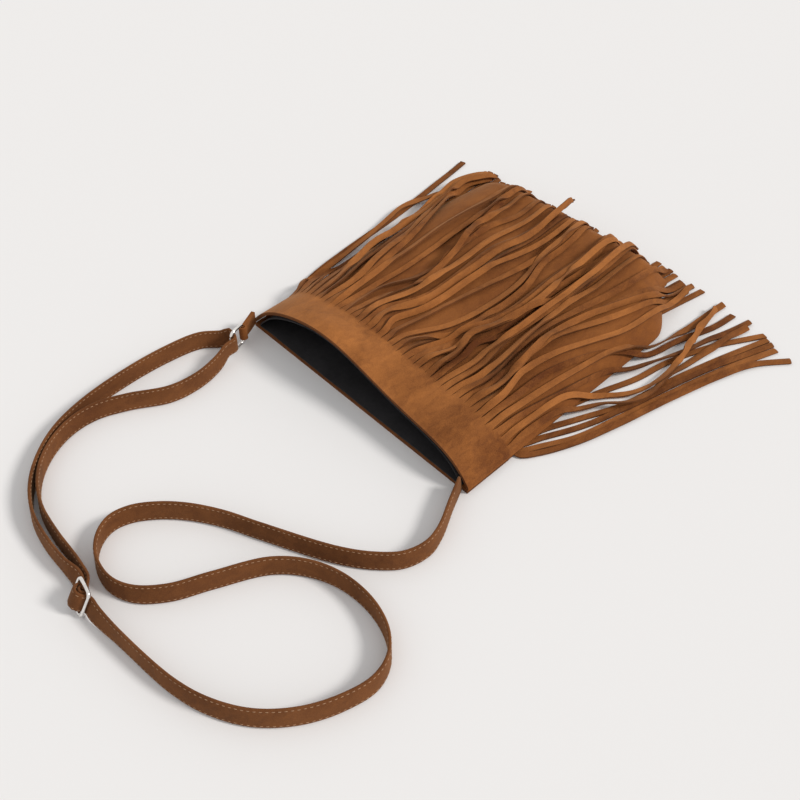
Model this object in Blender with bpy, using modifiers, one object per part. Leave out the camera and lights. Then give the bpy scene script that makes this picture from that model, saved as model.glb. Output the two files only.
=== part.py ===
"""Small suede shoulder bag lying on its back: a pouch of two outer panels and a black lining,
a fringe sheet sewn over the front and another under the back, a metal ring in a suede tab at
the left end of the mouth, and one long strap with a slider.

Frame: metres, +Z up, +Y from the mouth to the bottom of the bag, +X across. The origin is the
middle of the underside of the back fringe's band, on the surface that the bag lies on.
"""

import math

import bmesh
import bpy
from mathutils import Matrix, Vector

# Pouch
BAG_WIDTH = 0.222
BAG_LENGTH = 0.262
BODY_RISE = 0.018
SIDE_POWER = 8
HUMP_RISE = 0.0155
HUMP_SIDE = -0.32
HUMP_SPREAD = 0.36
MOUTH_FADE = 0.090
MOUTH_PULL = 0.005
MOUTH_DRAW = 0.0075
BOTTOM_ROUND = 0.014
LEFT_TAPER = 0.005
RIGHT_TAPER = 0.031
CORNER_LENGTH = 0.060

# Sheets
PANEL_THICK = 0.0012
LINING_THICK = 0.0006
FRINGE_THICK = 0.0012
GAP = 0.0003
LINING_INSET = 0.006
LINING_DROP = 0.0020
LAYER_SPREAD = 0.0016

# Fringe
BAND_DEPTH = 0.040
STRIP_LENGTH = 0.238
STRIP_COUNT = 42
STRIP_GAP = 0.0009
STRIP_SWAY = 0.0012
STRIP_LIFT = 0.0018
LIFTED_AT = 0.10
TIP_STEP = 0.003
FRONT_SPREAD_LEFT = 0.036
FRONT_SPREAD_RIGHT = 0.046
BACK_SPREAD_LEFT = 0.008
BACK_SPREAD_RIGHT = 0.088
SPREAD_FROM = 0.35
SPREAD_DROP = 0.016
SPREAD_GROWTH = 1.4
SPREAD_CURVE = 1.3

# Rows and columns of the sheets
BAND_ROWS = 3
BODY_ROWS = 10
END_ROWS = 4
BACK_ROWS = 5
DOME_COLUMNS = 22
TINY = 1e-6

# Ring and its tab
RING_WIRE = 0.0026
RING_HEIGHT = 0.0195
RING_LENGTH = 0.0165
RING_CORNER = 0.0040
RING_IN = 0.0085
RING_OUT = 0.0175
RING_HEADING = math.radians(-76)
TAB_THICK = 0.0014
TAB_WIDTH = 0.0110
TAB_CLEARANCE = 0.0004

# Strap and slider
STRAP_WIDTH = 0.0135
STRAP_THICK = 0.0022
STRAP_LEAN = 0.32
SLIDER_WIRE = 0.0024
SLIDER_HEIGHT = 0.0210
SLIDER_PITCH = 0.0078
SLIDER_CORNER = 0.0030
SLIDER_PLACE = (0.0080, -0.2440)
SLIDER_HEADING = math.radians(-14)
SLIDER_LEAN = math.radians(28)
AWAY = Vector((-math.sqrt(0.5), math.sqrt(0.5), 0.0))

HALF_WIDTH = BAG_WIDTH / 2
MOUTH_Y = -BAND_DEPTH / 2
BAND_Y = BAND_DEPTH / 2
BOTTOM_Y = MOUTH_Y + BAG_LENGTH
RING_AXIS = (-HALF_WIDTH + RING_IN, MOUTH_Y + MOUTH_DRAW - RING_OUT)

BACK_PANEL_Z = FRINGE_THICK + GAP
SEAM_Z = BACK_PANEL_Z + PANEL_THICK + GAP
LINING_FRONT_Z = SEAM_Z + LINING_THICK + GAP
FRONT_FRINGE_Z = SEAM_Z + PANEL_THICK + GAP


def collection(name):
    made = bpy.data.collections.new(name)
    bpy.context.scene.collection.children.link(made)
    return made


def material(name, colour, roughness, metallic=0.0):
    made = bpy.data.materials.new(name)
    made.use_nodes = True
    shader = made.node_tree.nodes["Principled BSDF"]
    shader.inputs["Base Color"].default_value = (*colour, 1.0)
    shader.inputs["Roughness"].default_value = roughness
    shader.inputs["Metallic"].default_value = metallic
    return made


def add_object(name, data, group, look=None, matrix=None):
    made = bpy.data.objects.new(name, data)
    if look:
        data.materials.append(look)
    if matrix:
        made.matrix_world = matrix
    group.objects.link(made)
    return made


def thicken(made, thickness):
    """Solidify upwards from the surface as it was placed."""
    solid = made.modifiers.new("Thickness", "SOLIDIFY")
    solid.thickness = thickness
    solid.offset = 1.0


def grid_sheet(name, columns, rows, place, thickness, group, look, keep=None):
    """An open grid of columns by rows cells, put where place(column, row) says, with thickness."""
    bm = bmesh.new()
    bmesh.ops.create_grid(bm, x_segments=columns, y_segments=rows, size=1.0)
    xs = sorted({round(v.co.x, 5) for v in bm.verts})
    ys = sorted({round(v.co.y, 5) for v in bm.verts})
    column_of = {x: i for i, x in enumerate(xs)}
    row_of = {y: j for j, y in enumerate(ys)}
    index = {v: (column_of[round(v.co.x, 5)], row_of[round(v.co.y, 5)]) for v in bm.verts}
    if keep:
        spare = []
        for face in bm.faces:
            column = min(index[v][0] for v in face.verts)
            row = min(index[v][1] for v in face.verts)
            if not keep(column, row):
                spare.append(face)
        bmesh.ops.delete(bm, geom=spare, context="FACES")
    for v in bm.verts:
        v.co = place(*index[v])
    mesh = bpy.data.meshes.new(name)
    bm.to_mesh(mesh)
    bm.free()
    mesh.shade_smooth()
    made = add_object(name, mesh, group, look)
    thicken(made, thickness)
    return made


def smooth(t):
    t = min(max(t, 0.0), 1.0)
    return t * t * (3 - 2 * t)


def half_width_at(y, side, inset=0.0):
    """Half the pouch's width: it draws in towards the bottom corners, most at the right one."""
    near_bottom = smooth((y - (BOTTOM_Y - CORNER_LENGTH)) / CORNER_LENGTH)
    taper = RIGHT_TAPER if side > 0 else LEFT_TAPER
    return HALF_WIDTH - inset - taper * near_bottom


def rise_at(side, y, drop=0.0, inset=0.0):
    """Height of the domed front over its seam, for side from -1 to 1 across the pouch."""
    open_share = 1 - smooth((y - MOUTH_Y) / MOUTH_FADE)
    from_bottom = (BOTTOM_Y - inset - y) / BOTTOM_ROUND
    end = math.sqrt(max(0.0, 1 - (1 - min(max(from_bottom, 0.0), 1.0)) ** 2))
    from_hump = (side - HUMP_SIDE) / HUMP_SPREAD
    hump = HUMP_RISE * open_share * math.exp(-(from_hump**2) / 2)
    return ((BODY_RISE - drop) * end + hump) * (1 - side**SIDE_POWER)


def drawn(side, y):
    """The mouth line draws in towards its left end, where the mouth stands most open."""
    share = 1 - smooth((y - MOUTH_Y) / BAND_DEPTH)
    return y + MOUTH_DRAW * share * (1 - side) / 2


def pulled(side, y):
    """The raised mouth edge draws back a little more from the mouth line."""
    share = 1 - smooth((y - MOUTH_Y) / BAND_DEPTH)
    return drawn(side, y) + MOUTH_PULL * share * (1 - side**2)


def stations(inset=0.0):
    """Rows along the pouch: even over the band and the body, closer where the bottom rounds."""
    round_from = BOTTOM_Y - BOTTOM_ROUND - inset
    rows = [MOUTH_Y + BAND_DEPTH * k / BAND_ROWS for k in range(BAND_ROWS)]
    rows += [BAND_Y + (round_from - BAND_Y) * k / BODY_ROWS for k in range(BODY_ROWS)]
    for k in range(END_ROWS + 1):
        rows.append(round_from + BOTTOM_ROUND * math.sin(math.pi / 2 * k / END_ROWS))
    return rows


def domed_sheet(name, base, thickness, group, look, inset=0.0, drop=0.0):
    rows = stations(inset)

    def place(column, row):
        side = math.sin(math.pi / 2 * (2 * column / DOME_COLUMNS - 1))
        y = rows[row]
        height = base + rise_at(side, y, drop, inset)
        return Vector((side * half_width_at(y, side, inset), pulled(side, y), height))

    return grid_sheet(name, DOME_COLUMNS, len(rows) - 1, place, thickness, group, look)


def flat_sheet(name, base, thickness, group, look, inset=0.0):
    rows = stations(inset)

    def place(column, row):
        side = 2 * column - 1
        y = rows[row]
        return Vector((side * half_width_at(y, side, inset), drawn(side, y), base))

    return grid_sheet(name, 1, len(rows) - 1, place, thickness, group, look)


def strip_edge(column):
    """Share across the sheet, -1 to 1, of a strip's left edge (even column) or right edge (odd)."""
    strip, right = divmod(column, 2)
    pitch = 2.0 / STRIP_COUNT
    half_gap = STRIP_GAP / 2 / HALF_WIDTH
    if column == 0:
        return -1.0
    if column == 2 * STRIP_COUNT - 1:
        return 1.0
    return -1.0 + pitch * (strip + right) + (-half_gap if right else half_gap)


def tip_offset(column):
    """Strips end a little unevenly, in a pattern that doesn't repeat from one to the next."""
    strip = column // 2
    return TIP_STEP * math.sin(2.4 * strip)


def sway(column, along):
    """A gentle wave that runs through the strips, growing towards their tips."""
    strip = column // 2
    return STRIP_SWAY * along * math.sin(0.42 * strip + 2.2 * along)


def fanned(side, along, left, right):
    """How far a strip has turned outwards: the outer ones do, more and more towards their tips."""
    turn = max(0.0, (abs(side) - SPREAD_FROM) / (1 - SPREAD_FROM)) ** SPREAD_GROWTH
    return (right if side > 0 else -left) * turn * along**SPREAD_CURVE


def fringe_sheet(name, rows, place_at, group, look):
    """A band cut into strips: place_at(column, y, along) gives a point, along being 0 to 1."""
    columns = 2 * STRIP_COUNT - 1
    band_rows = sum(y < BAND_Y - TINY for y in rows)
    tip_y = rows[-1]

    def place(column, row):
        y = rows[row]
        if row == len(rows) - 1:
            y += tip_offset(column)
        along = max(0.0, (y - BAND_Y) / (tip_y - BAND_Y))
        return place_at(column, y, along)

    def keep(column, row):
        return row < band_rows or column % 2 == 0

    return grid_sheet(name, columns, len(rows) - 1, place, FRINGE_THICK, group, look, keep)


def front_fringe(group, look):
    """It follows the domed front panel, falls over its edges and lies out past them."""
    spread = HALF_WIDTH + LAYER_SPREAD

    def place_at(column, y, along):
        across = strip_edge(column)
        x = across * spread + sway(column, along)
        x += fanned(across, along, FRONT_SPREAD_LEFT, FRONT_SPREAD_RIGHT)
        side = x / half_width_at(min(y, BOTTOM_Y), x, -LAYER_SPREAD)
        side = min(max(side, -1.0), 1.0)
        height = FRONT_FRINGE_Z + rise_at(side, y, 0.0, -LAYER_SPREAD)
        height += STRIP_LIFT * smooth(along / LIFTED_AT)
        return Vector((x, pulled(side, y), height))

    rows = stations(-LAYER_SPREAD) + [BAND_Y + STRIP_LENGTH]
    return fringe_sheet("front_fringe", rows, place_at, group, look)


def back_fringe(group, look):
    """It lies flat under the bag, and its right strips fan out on the floor beside it."""

    def place_at(column, y, along):
        side = strip_edge(column)
        out = fanned(side, along, BACK_SPREAD_LEFT, BACK_SPREAD_RIGHT)
        back = SPREAD_DROP * along * max(0.0, out) / BACK_SPREAD_RIGHT
        return Vector((side * HALF_WIDTH + out, drawn(side, y) - back, 0.0))

    rows = [MOUTH_Y] + [BAND_Y + STRIP_LENGTH * k / BACK_ROWS for k in range(BACK_ROWS + 1)]
    return fringe_sheet("back_fringe", rows, place_at, group, look)


def rounded_rectangle(length, height, corner, steps=4):
    """Centre line of a ring in its own plane: first axis along it, second across."""
    points = []
    for quarter in range(4):
        cx = (length / 2 - corner) * (1 if quarter in (0, 3) else -1)
        cy = (height / 2 - corner) * (1 if quarter in (0, 1) else -1)
        for step in range(steps + 1):
            angle = math.pi / 2 * (quarter + step / steps)
            points.append((cx + corner * math.cos(angle), cy + corner * math.sin(angle)))
    return points


def wire_curve(name, points, wire, cyclic, sides=2):
    data = bpy.data.curves.new(name, "CURVE")
    data.dimensions = "3D"
    data.bevel_depth = wire / 2
    data.bevel_resolution = sides
    data.use_fill_caps = not cyclic
    spline = data.splines.new("POLY")
    spline.points.add(len(points) - 1)
    for made, point in zip(spline.points, points):
        made.co = (*point, 1.0)
    spline.use_cyclic_u = cyclic
    return data


def mesh_from(made, group):
    """Replace a curve object by the mesh that it draws, welded."""
    bpy.context.view_layer.update()
    graph = bpy.context.evaluated_depsgraph_get()
    mesh = bpy.data.meshes.new_from_object(made.evaluated_get(graph))
    bm = bmesh.new()
    bm.from_mesh(mesh)
    bmesh.ops.remove_doubles(bm, verts=bm.verts, dist=1e-6)
    bm.to_mesh(mesh)
    bm.free()
    name = made.name
    matrix = made.matrix_world.copy()
    bpy.data.objects.remove(made)
    result = bpy.data.objects.new(name, mesh)
    result.matrix_world = matrix
    group.objects.link(result)
    return result


def ring_frame():
    """Ring frame: X from the tab's bar to the strap's bar, Y up, origin on the tab's bar."""
    along = Vector((math.cos(RING_HEADING), math.sin(RING_HEADING), 0.0))
    up = Vector((0.0, 0.0, 1.0))
    side = along.cross(up)
    turned = Matrix((along, up, side)).transposed().to_4x4()
    height = RING_HEIGHT / 2 + GAP
    return Matrix.Translation((*RING_AXIS, height)) @ turned


def strap_ring(group, look):
    length = RING_LENGTH - RING_WIRE
    height = RING_HEIGHT - RING_WIRE
    line = [(x + length / 2, y, 0.0) for x, y in rounded_rectangle(length, height, RING_CORNER)]
    data = wire_curve("strap_ring", line, RING_WIRE, cyclic=True)
    return add_object("strap_ring", data, group, look, ring_frame())


def ring_tab(group, look):
    """A suede tab round the ring's inner bar, its two ends laid together at the mouth's corner."""
    hole = RING_WIRE / 2 + TAB_CLEARANCE
    outer = hole + TAB_THICK
    corner = Vector((-HALF_WIDTH + TAB_THICK, MOUTH_Y + MOUTH_DRAW - GAP - TAB_THICK))
    axis = Vector(RING_AXIS)
    tail = corner - axis
    heading = math.atan2(tail.y, tail.x)
    spread = math.acos(TAB_THICK / outer)
    outline = [(TAB_THICK, tail.length), (-TAB_THICK, tail.length)]
    steps = 14
    for step in range(steps + 1):
        angle = math.pi / 2 + math.pi / 2 - spread + (math.pi + 2 * spread) * step / steps
        outline.append((outer * math.cos(angle), outer * math.sin(angle)))
    data = bpy.data.curves.new("ring_tab", "CURVE")
    data.dimensions = "2D"
    data.fill_mode = "BOTH"
    data.extrude = TAB_WIDTH / 2
    circle = [
        (hole * math.cos(2 * math.pi * k / steps), hole * math.sin(2 * math.pi * k / steps))
        for k in range(steps)
    ]
    for line in (outline, circle):
        spline = data.splines.new("POLY")
        spline.points.add(len(line) - 1)
        for made, (x, y) in zip(spline.points, line):
            made.co = (x, y, 0.0, 1.0)
        spline.use_cyclic_u = True
    turned = Matrix.Rotation(heading - math.pi / 2, 4, "Z")
    place = Matrix.Translation((*RING_AXIS, RING_HEIGHT / 2 + GAP))
    made = add_object("ring_tab", data, group, matrix=place @ turned)
    made = mesh_from(made, group)
    made.data.materials.append(look)
    return made


def slider_frame():
    """Slider frame: X along the strap, Y up its leaning width, Z out of its face, nearest first."""
    along = Vector((math.cos(SLIDER_HEADING), math.sin(SLIDER_HEADING), 0.0))
    level = Vector((0.0, 0.0, 1.0)).cross(along)
    width = level * math.sin(SLIDER_LEAN) + Vector((0.0, 0.0, 1.0)) * math.cos(SLIDER_LEAN)
    face = along.cross(width)
    turned = Matrix((along, width, face)).transposed().to_4x4()
    reach = (SLIDER_HEIGHT - SLIDER_WIRE) / 2 * math.cos(SLIDER_LEAN)
    height = reach + SLIDER_WIRE / 2 + GAP
    return Matrix.Translation((*SLIDER_PLACE, height)) @ turned


def strap_slider(group, cutters, look):
    """A rounded frame with a middle bar, made one by a union."""
    length = 2 * SLIDER_PITCH
    height = SLIDER_HEIGHT - SLIDER_WIRE
    line = [(x, y, 0.0) for x, y in rounded_rectangle(length, height, SLIDER_CORNER)]
    data = wire_curve("strap_slider", line, SLIDER_WIRE, cyclic=True)
    made = mesh_from(add_object("strap_slider", data, group, matrix=slider_frame()), group)
    made.data.materials.append(look)
    bar = wire_curve(
        "slider_bar",
        [(0.0, -height / 2, 0.0), (0.0, height / 2, 0.0)],
        SLIDER_WIRE - GAP / 2,
        cyclic=False,
    )
    helper = mesh_from(add_object("slider_bar", bar, cutters, matrix=slider_frame()), cutters)
    helper.hide_render = True
    helper.display_type = "WIRE"
    union = made.modifiers.new("Middle bar", "BOOLEAN")
    union.operation = "UNION"
    union.object = helper
    return made


# Strap route from the right end of the mouth: points on the strap's middle line, seen from
# above, chosen along the loops in which it lies.
FREE_ROUTE = [
    (0.1055, -0.0215), (0.1135, -0.0385), (0.1235, -0.0590), (0.1266, -0.0730),
    (0.1225, -0.0890), (0.1100, -0.1028), (0.0905, -0.1160), (0.0430, -0.1375),
    (0.0200, -0.1473), (0.0000, -0.1594), (-0.0140, -0.1720), (-0.0238, -0.1860),
    (-0.0266, -0.1990), (-0.0215, -0.2115), (-0.0085, -0.2222), (0.0100, -0.2260),
    (0.0260, -0.2205), (0.0405, -0.2050), (0.0520, -0.1810), (0.0685, -0.1495),
    (0.0860, -0.1345), (0.1080, -0.1265), (0.1330, -0.1265), (0.1530, -0.1335),
    (0.1650, -0.1445), (0.1700, -0.1600), (0.1655, -0.1820), (0.1550, -0.2030),
    (0.1380, -0.2215), (0.1160, -0.2340), (0.0920, -0.2405), (0.0440, -0.2436),
]
# Through the slider: along the strap and out of the slider's face.
RUN_THROUGH = [
    (0.0140, -0.0036), (0.0078, -0.00275), (0.0061, -0.0020), (0.00525, 0.0001),
    (0.0047, 0.0023), (0.0029, 0.0045), (0.0000, 0.0054), (-0.0029, 0.0045),
    (-0.0047, 0.0023), (-0.00525, 0.0001), (-0.0061, -0.0020), (-0.0078, -0.00275),
    (-0.0150, -0.0032),
]
OUTER_RETURN = [
    (-0.0200, -0.2375), (-0.0440, -0.2357), (-0.0660, -0.2305), (-0.0860, -0.2193),
    (-0.1030, -0.2023), (-0.1160, -0.1810), (-0.1235, -0.1550), (-0.1270, -0.1200),
    (-0.1260, -0.0840), (-0.1205, -0.0565), (-0.1105, -0.0435),
]
# Round the ring's outer bar, from that bar.
ROUND_RING = [
    (-0.0070, 0.0046), (-0.0034, 0.0043), (-0.0002, 0.0035), (0.0022, 0.0023),
    (0.0032, 0.0002), (0.0031, -0.0024), (0.0034, -0.0070),
]
INNER_RETURN = [
    (-0.0925, -0.0620), (-0.0887, -0.0820), (-0.0915, -0.1040), (-0.1060, -0.1295),
    (-0.1140, -0.1490), (-0.1150, -0.1660), (-0.1105, -0.1830), (-0.1005, -0.2000),
    (-0.0860, -0.2138), (-0.0660, -0.2239), (-0.0420, -0.2288), (-0.0140, -0.2315),
]
SEWN_END = [
    (-0.0110, -0.0070), (-0.0044, -0.0042), (-0.0014, -0.0029), (0.0013, -0.0025),
    (0.0027, -0.0008), (0.0024, 0.0013), (0.0008, 0.0026), (-0.0013, 0.0024),
    (-0.0027, 0.0006),
]


def ring_outer_bar():
    reach = RING_LENGTH - RING_WIRE
    return Vector(
        (
            RING_AXIS[0] + reach * math.cos(RING_HEADING),
            RING_AXIS[1] + reach * math.sin(RING_HEADING),
            RING_HEIGHT / 2 + GAP,
        )
    )


def strap_route():
    """Route in travel order, each entry a point on the middle line and its width direction."""
    upright = Vector((0.0, 0.0, 1.0))
    slider = slider_frame()
    slider_up = slider.to_3x3().col[1]
    bar = ring_outer_bar()
    knots = [(Vector((x, y, 0.0)), None) for x, y in FREE_ROUTE]
    knots += [(slider @ Vector((s, 0.0, n)), slider_up) for s, n in RUN_THROUGH]
    knots += [(Vector((x, y, 0.0)), None) for x, y in OUTER_RETURN]
    knots += [(bar + Vector((x, y, 0.0)), upright) for x, y in ROUND_RING]
    knots += [(Vector((x, y, 0.0)), None) for x, y in INNER_RETURN]
    knots += [(slider @ Vector((s, 0.0, n)), slider_up) for s, n in SEWN_END]

    route = []
    for k, (point, width) in enumerate(knots):
        if width is None:
            travel = knots[min(k + 1, len(knots) - 1)][0] - knots[max(k - 1, 0)][0]
            across = Vector((-travel.y, travel.x, 0.0)).normalized()
            width = (upright + across * STRAP_LEAN * across.dot(AWAY)).normalized()
            lift = STRAP_WIDTH / 2 * width.z + STRAP_THICK / 2 * width.xy.length + GAP
            point = Vector((point.x, point.y, lift))
        route.append((point, width))
    return route


def tilt_for(travel, width):
    """Turn about the travel direction that takes an upright section to the wanted width."""
    travel = travel.normalized()
    upright = Vector((0.0, 0.0, 1.0))
    start = (upright - travel * upright.dot(travel)).normalized()
    goal = (width - travel * width.dot(travel)).normalized()
    return math.atan2(travel.dot(start.cross(goal)), start.dot(goal))


def shoulder_strap(group, look):
    """The strap stands on its edge: a curve with an upright section, tilted by its lean."""
    route = strap_route()
    data = bpy.data.curves.new("shoulder_strap", "CURVE")
    data.dimensions = "3D"
    data.twist_mode = "Z_UP"
    data.bevel_depth = STRAP_THICK / 2
    data.bevel_resolution = 1
    data.extrude = STRAP_WIDTH / 2 - STRAP_THICK / 2
    data.use_fill_caps = True
    spline = data.splines.new("POLY")
    spline.points.add(len(route) - 1)
    for k, (point, width) in enumerate(route):
        travel = route[min(k + 1, len(route) - 1)][0] - route[max(k - 1, 0)][0]
        spline.points[k].co = (*point, 1.0)
        spline.points[k].tilt = tilt_for(travel, width)
    return add_object("shoulder_strap", data, group, look)


def build():
    for spare in list(bpy.data.objects):
        bpy.data.objects.remove(spare)
    bag = collection("suede_bag")
    cutters = collection("cutters")

    suede = material("suede", (0.30, 0.125, 0.042), 0.95)
    suede_fringe = material("suede_fringe", (0.34, 0.145, 0.05), 0.95)
    strap_suede = material("strap_suede", (0.24, 0.10, 0.036), 0.9)
    lining = material("lining", (0.012, 0.011, 0.012), 0.8)
    metal = material("polished_metal", (0.78, 0.76, 0.74), 0.15, 1.0)

    back_fringe(bag, suede_fringe)
    flat_sheet("back_panel", BACK_PANEL_Z, PANEL_THICK, bag, suede)
    flat_sheet("lining_back", SEAM_Z, LINING_THICK, bag, lining, inset=LINING_INSET)
    domed_sheet(
        "lining_front", LINING_FRONT_Z, LINING_THICK, bag, lining, LINING_INSET, LINING_DROP
    )
    domed_sheet("front_panel", SEAM_Z, PANEL_THICK, bag, suede)
    front_fringe(bag, suede_fringe)
    ring_tab(bag, suede)
    strap_ring(bag, metal)
    strap_slider(bag, cutters, metal)
    shoulder_strap(bag, strap_suede)


build()
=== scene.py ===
"""Looks of a small fringed suede shoulder bag that lies on its back with its mouth open.

The frame gives every place: the bag lies on the floor at z = 0, with +Y from the mouth to the
bottom edge and +X across. All sizes are in metres.
"""

import itertools
import math

import bpy
import numpy as np
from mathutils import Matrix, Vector


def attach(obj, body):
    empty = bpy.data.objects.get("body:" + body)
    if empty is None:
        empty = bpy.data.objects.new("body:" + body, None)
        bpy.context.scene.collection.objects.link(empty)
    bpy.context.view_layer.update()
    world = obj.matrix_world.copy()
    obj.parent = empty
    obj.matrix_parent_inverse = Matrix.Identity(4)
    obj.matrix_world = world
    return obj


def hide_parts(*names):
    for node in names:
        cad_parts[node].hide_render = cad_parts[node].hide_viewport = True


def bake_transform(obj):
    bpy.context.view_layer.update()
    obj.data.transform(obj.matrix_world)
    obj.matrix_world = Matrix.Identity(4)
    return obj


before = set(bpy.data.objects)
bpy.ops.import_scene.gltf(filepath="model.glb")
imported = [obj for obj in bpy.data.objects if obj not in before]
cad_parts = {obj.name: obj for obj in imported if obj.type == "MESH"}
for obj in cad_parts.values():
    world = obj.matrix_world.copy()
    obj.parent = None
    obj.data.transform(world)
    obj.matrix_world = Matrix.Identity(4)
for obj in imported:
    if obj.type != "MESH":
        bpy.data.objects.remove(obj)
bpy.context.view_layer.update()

# Camera
CAMERA_PLACE = Vector((0.4027, -0.3732, 0.5596))
CAMERA_AIM = Vector((0.0205, 0.0090, 0.0))
CAMERA_LENS = 50.0
CAMERA_SENSOR = 36.0

# Light and floor
KEY_STRENGTH = 2.0
KEY_SPREAD = math.radians(14)
KEY_FROM = Vector((0.816, 0.576, 0.78))
KEY_COLOUR = (1.0, 0.985, 0.96)
FILL_STRENGTH = 0.62
FILL_COLOUR = (0.98, 0.99, 1.0)
BACKGROUND = (0.863, 0.843, 0.831)
FLOOR_HALF = 3

# Pouch, as in the solids
HALF_WIDTH = 0.111
MOUTH_Y = -0.020
BAND_Y = 0.020
BOTTOM_Y = 0.242
BODY_RISE = 0.018
SIDE_POWER = 8
HUMP_RISE = 0.0155
HUMP_SIDE = -0.32
HUMP_SPREAD = 0.36
MOUTH_FADE = 0.090
MOUTH_PULL = 0.005
MOUTH_DRAW = 0.0075
BOTTOM_ROUND = 0.014
LEFT_TAPER = 0.005
RIGHT_TAPER = 0.031
CORNER_LENGTH = 0.060
GAP = 0.0003
SUEDE = 0.0012
LINING = 0.0006
BACK_PANEL_Z = SUEDE + GAP
SEAM_Z = BACK_PANEL_Z + SUEDE + GAP
LINING_FRONT_Z = SEAM_Z + LINING + GAP
FRONT_FRINGE_Z = SEAM_Z + SUEDE + GAP
LINING_INSET = 0.006
LINING_DROP = 0.0020
LINING_RIPPLE = 0.0009
WRINKLE_DEPTH = 0.0007
FLAT_COLUMNS = 100
DOME_COLUMNS = 130
BODY_ROWS = 110
ROUND_ROWS = 24
SHARP_ANGLE = math.radians(48)

# Fringe: the sheet and its cuts
STRIP_COUNT = 42
STRIP_LENGTH = 0.238
STRIP_STATIONS = 84
STRIP_CELLS = 4
STRIP_GAP = 0.0007
STRIP_UNEVEN = 0.0001
TIP_UNEVEN = 0.004
TIP_SLANT = 0.0016
CUT_UNEVEN = 0.0018
CUT_WAVE = 0.006
BAND_ROWS = 13
# The band is light over its left half and darkens towards its right end.
BAND_TONE = 0.70
BAND_TONE_FALL = 1.25
TONE_FADE = 0.03
ROOT_FLARE = 0.004

# Fringe: how the strips lie. BUNDLES: every so many strips are drawn together, by so much, and
# swap sides over such a length. A stack of strips under another counts up to STACK_MOST, and the
# upper one runs onto it at the slope EASE. FALL is how steeply a strip may drop, and STIFF_FALL is
# that of the one strip that stands off the bottom edge. LOOSE_MOST is how far a strip lies off
# what is below it, and SINK how far it may press into it.
BUNDLES = ((2.7, 0.0013, 0.19), (4.3, 0.0019, 0.27), (9.3, 0.0022, 0.42))
WANDER = 0.0009
WANDER_WAVE = 0.080
DRAWN_FROM = 0.004
DRAWN_OVER = 0.060
ROOT_FADE = 0.02
LIFT_OVER = 0.016
ROLL_MOST = math.radians(34)
ROLL_WAVE = 0.075
CURL_MOST = 0.0007
CURL_WAVE = 0.09
LOOSE_MOST = 0.0022
LOOSE_WAVE = 0.080
TIGHT_FROM = 0.004
TIGHT_OVER = 0.030
TILT_MOST = 0.7
EASE = 0.14
STACK_MOST = 0.0034
SINK = 0.0003
FALL = 2.4
STIFF_FALL = 0.12
STIFF_STRIP = 15
BACK_SEED, BACK_STRIDE = 1.0, 5
FRONT_SEED, FRONT_STRIDE = 9.0, 11
GUIDE_STEP = 0.002
GUIDE_COUNT = 161
GUIDE_LEAN = 0.15
GUIDE_START = 0.008
RELIEF_LOW, RELIEF_HIGH = (-0.19, -0.03), (0.23, 0.31)
RELIEF_CELL = 0.0007
PANEL_ROWS, PANEL_COLUMNS = 900, 700
PANEL_MARGIN = 0.01
ACROSS = np.linspace(-0.5, 0.5, 7)
ACROSS_FINE = np.linspace(-0.5, 0.5, 11)
FINE_STEPS = 4

# Strap, ring and slider, as in the solids
RING_WIRE = 0.0026
RING_HEIGHT = 0.0195
RING_LENGTH = 0.0165
RING_CORNER = 0.0040
RING_AXIS = (-0.1025, -0.0300)
RING_HEADING = math.radians(-76)
STRAP_WIDTH = 0.0135
STRAP_THICK = 0.0022
STRAP_LEAN = 0.32
STRAP_STEP = 0.0025
STRAP_PINCH = 0.84
STITCH_PITCH = 0.0035
STITCH_LENGTH = 0.0023
STITCH_INSET = 0.0016
STITCH_THICK = 0.00045
STITCH_SINK = 0.00035
STITCH_RISE = 0.00008
STITCH_SIDES = 6
STITCH_FROM, STITCH_TO = 0.012, 0.006
SLIDER_WIRE = 0.0024
SLIDER_BAR = 0.9
SLIDER_HEIGHT = 0.0210
SLIDER_PITCH = 0.0078
SLIDER_CORNER = 0.0030
SLIDER_PLACE = (0.0080, -0.2440)
SLIDER_HEADING = math.radians(-14)
SLIDER_LEAN = math.radians(28)
AWAY = Vector((-math.sqrt(0.5), math.sqrt(0.5), 0.0))
UP = Vector((0.0, 0.0, 1.0))

# The strap's route: points on its middle line. Those of the slider are along the strap and out of
# the slider's face, and those of the ring are from its outer bar.
FREE_ROUTE = [
    (0.1055, -0.0215), (0.1135, -0.0385), (0.1235, -0.0590), (0.1266, -0.0730),
    (0.1225, -0.0890), (0.1100, -0.1028), (0.0905, -0.1160), (0.0430, -0.1375),
    (0.0200, -0.1473), (0.0000, -0.1594), (-0.0140, -0.1720), (-0.0238, -0.1860),
    (-0.0266, -0.1990), (-0.0215, -0.2115), (-0.0085, -0.2222), (0.0100, -0.2260),
    (0.0260, -0.2205), (0.0405, -0.2050), (0.0520, -0.1810), (0.0685, -0.1495),
    (0.0860, -0.1345), (0.1080, -0.1265), (0.1330, -0.1265), (0.1530, -0.1335),
    (0.1650, -0.1445), (0.1700, -0.1600), (0.1655, -0.1820), (0.1550, -0.2030),
    (0.1380, -0.2215), (0.1160, -0.2340), (0.0920, -0.2405), (0.0440, -0.2436),
]
RUN_THROUGH = [
    (0.0140, -0.0036), (0.0078, -0.00275), (0.0061, -0.0020), (0.00525, 0.0001),
    (0.0047, 0.0023), (0.0029, 0.0045), (0.0000, 0.0054), (-0.0029, 0.0045),
    (-0.0047, 0.0023), (-0.00525, 0.0001), (-0.0061, -0.0020), (-0.0078, -0.00275),
    (-0.0150, -0.0032),
]
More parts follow.
